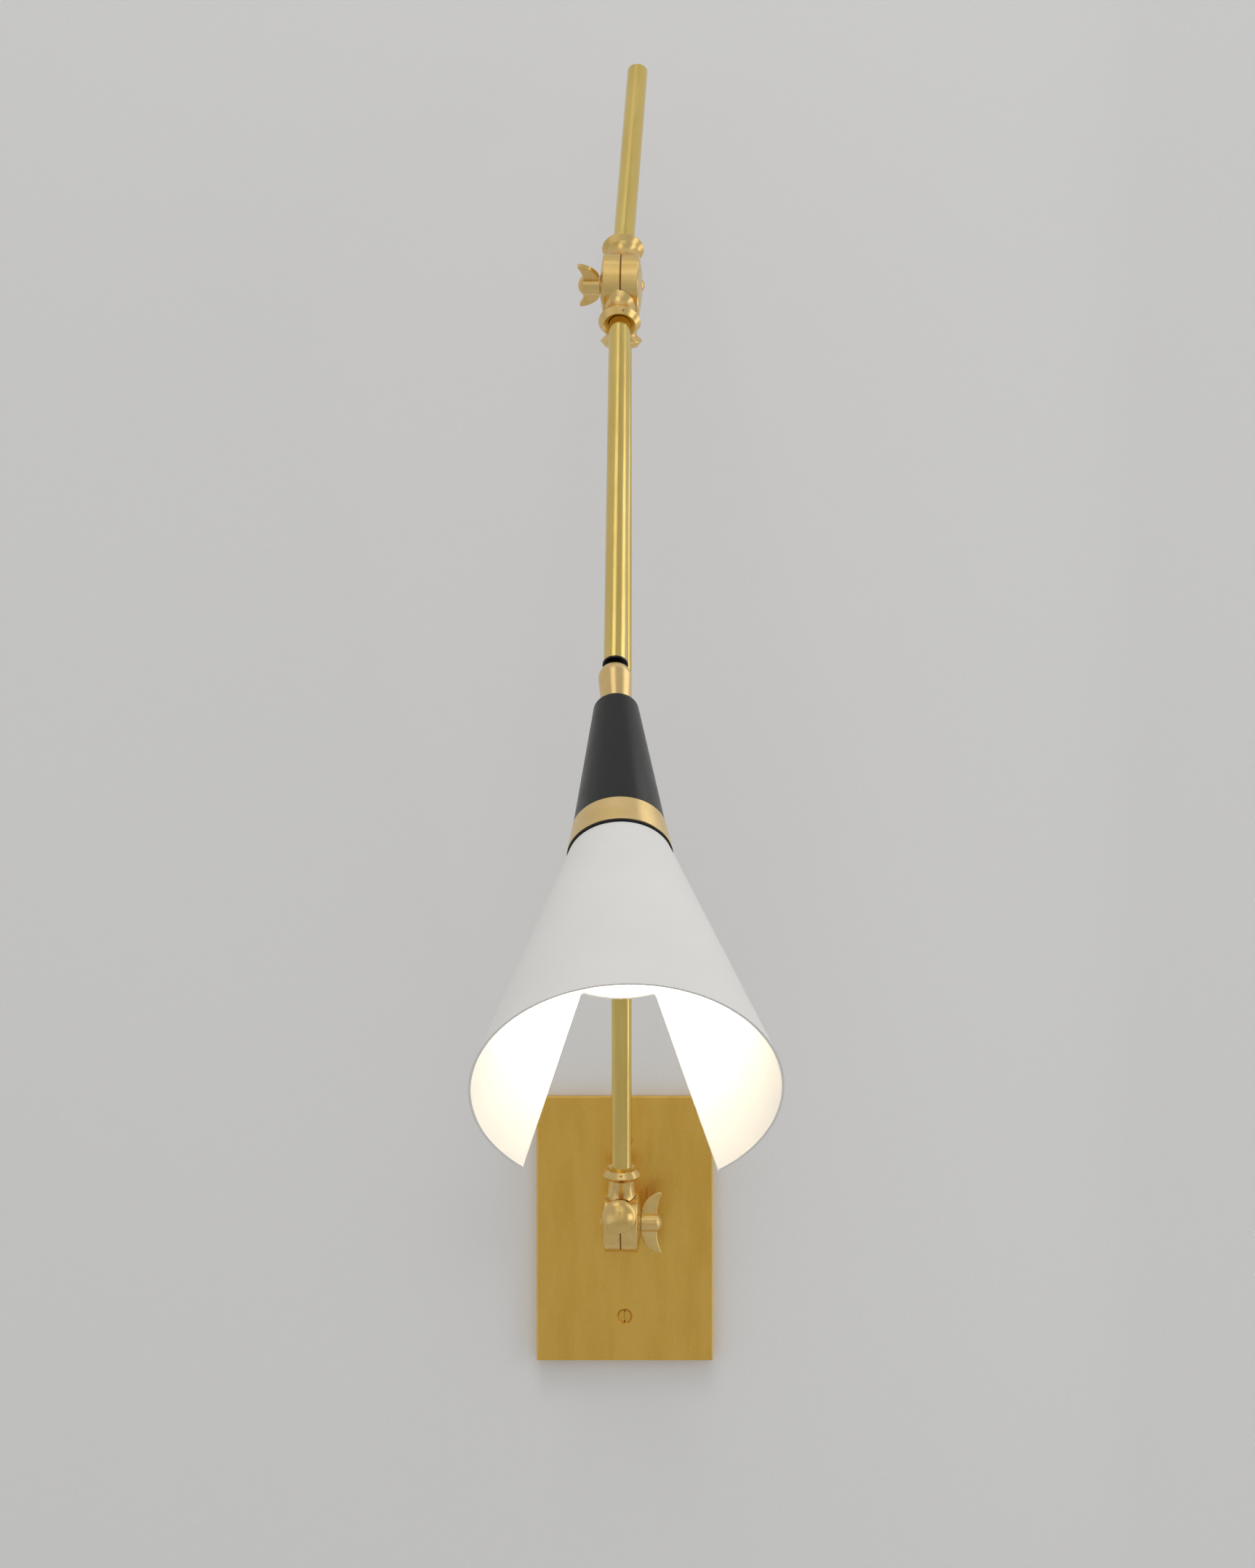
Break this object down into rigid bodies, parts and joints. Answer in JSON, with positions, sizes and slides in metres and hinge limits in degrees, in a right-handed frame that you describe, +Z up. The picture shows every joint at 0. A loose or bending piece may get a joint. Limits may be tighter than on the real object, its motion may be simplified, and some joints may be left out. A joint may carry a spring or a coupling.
{
  "type": "articulating wall lamp",
  "caption": "Wall lamp on a brass back plate: two long tubular arms on wing-nut half-lap joints, a ball-jointed black handle and a white cone shade with a wedge-shaped slot.",
  "frame": {"origin": "on the wall plane, at the centre of the back plate and of the slotted strap's screw pattern", "axes": "+X to the viewer's right, +Y into the wall, +Z up"},
  "size_m": [0.1522, 0.6784, 0.8304],
  "materials": {
    "antique_brass": "aged, satin",
    "tube_brass": "aged, satin",
    "plain_steel": "zinc plated",
    "black_handle": "black, gloss",
    "white_enamel": "white, satin",
    "black_fibre": "matt",
    "nylon": "matt",
    "holder_black": "matt",
    "contact_brass": "bright",
    "bulb_metal": "bright",
    "bulb_glass": "white, frosted"
  },
  "bodies": {
    "mount": {"back_plate": "antique_brass", "mounting_strap": "plain_steel", "plate_screws": "antique_brass", "ball_retainer": "plain_steel", "retainer_screws": "plain_steel"},
    "wall_liner": {"wall_ball_liner": "nylon"},
    "wall_stud": {"wall_ball_stud": "antique_brass"},
    "wall_joint": {"wall_knuckle": "antique_brass", "knuckle_cap": "antique_brass", "stud_grub_screw": "plain_steel"},
    "lower_arm": {"lower_arm_foot": "antique_brass", "lower_arm_tube": "tube_brass", "lower_arm_top": "antique_brass", "lower_arm_grub_screws": "plain_steel", "wall_pivot_bolt": "antique_brass", "elbow_pivot_bolt": "antique_brass", "wall_friction_washer": "black_fibre", "elbow_friction_washer": "black_fibre"},
    "wall_clamp": {"wall_wing_nut": "antique_brass"},
    "elbow_clamp": {"elbow_wing_nut": "antique_brass"},
    "upper_arm": {"elbow_knuckle": "antique_brass", "front_tube": "tube_brass", "tail_tube": "tube_brass", "tail_plug": "tube_brass", "upper_arm_grub_screws": "plain_steel", "head_ball_stud": "antique_brass"},
    "head_liner": {"head_ball_liner": "nylon"},
    "head_sleeve": {"ball_sleeve": "antique_brass"},
    "head": {"head_nipple": "plain_steel", "handle_nut": "plain_steel", "handle": "black_handle", "brass_ring": "antique_brass", "shade_gasket": "black_fibre", "shade": "white_enamel", "lampholder": "holder_black", "screw_shell": "contact_brass", "centre_contact": "contact_brass", "shade_lock_ring": "holder_black", "bulb_base": "bulb_metal", "bulb_globe": "bulb_glass"}
  },
  "joints": [
    {"name": "wall_pan", "type": "hinge", "parent": "mount", "child": "wall_liner", "pos_m": [0, -0.007, 0], "axis": [0, 0, 1], "range_deg": [-5.5, 10]},
    {"name": "wall_tilt", "type": "hinge", "parent": "wall_liner", "child": "wall_stud", "pos_m": [0, -0.007, 0], "axis": [0.9991, -0.0427, 0], "range_deg": [-2, 24]},
    {"name": "wall_swivel", "type": "hinge", "parent": "wall_stud", "child": "wall_joint", "pos_m": [0, -0.007, 0], "axis": [-0.0419, -0.9791, 0.1992], "range_deg": [-90, 90]},
    {"name": "wall_pivot", "type": "hinge", "parent": "wall_joint", "child": "lower_arm", "pos_m": [-0.00188, -0.05096, 0.00894], "axis": [0.9989, -0.0451, -0.0117], "range_deg": [-14, 17]},
    {"name": "wall_nut_turn", "type": "hinge", "parent": "lower_arm", "child": "wall_clamp", "pos_m": [-0.00188, -0.05096, 0.00894], "axis": [0.9989, -0.0451, -0.0117], "range_deg": [0, 270]},
    {"name": "elbow_pivot", "type": "hinge", "parent": "lower_arm", "child": "upper_arm", "pos_m": [-0.00188, -0.20029, 0.58635], "axis": [0.9994, -0.0346, -0.009], "range_deg": [-75, 9]},
    {"name": "elbow_nut_turn", "type": "hinge", "parent": "lower_arm", "child": "elbow_clamp", "pos_m": [-0.00188, -0.20029, 0.58635], "axis": [-0.9994, 0.0346, 0.009], "range_deg": [0, 270]},
    {"name": "head_pan", "type": "hinge", "parent": "upper_arm", "child": "head_liner", "pos_m": [-0.00479, -0.41274, 0.34641], "axis": [-0.02, -0.7484, 0.6629], "range_deg": [-20, 18]},
    {"name": "head_tilt", "type": "hinge", "parent": "head_liner", "child": "head_sleeve", "pos_m": [-0.00479, -0.41274, 0.34641], "axis": [0.9996, -0.0002, 0.0299], "range_deg": [-15, 24]},
    {"name": "head_spin", "type": "hinge", "parent": "head_sleeve", "child": "head", "pos_m": [-0.00479, -0.41274, 0.34641], "axis": [0.0206, -0.7192, -0.6945], "range_deg": [-170, 170]}
  ]
}
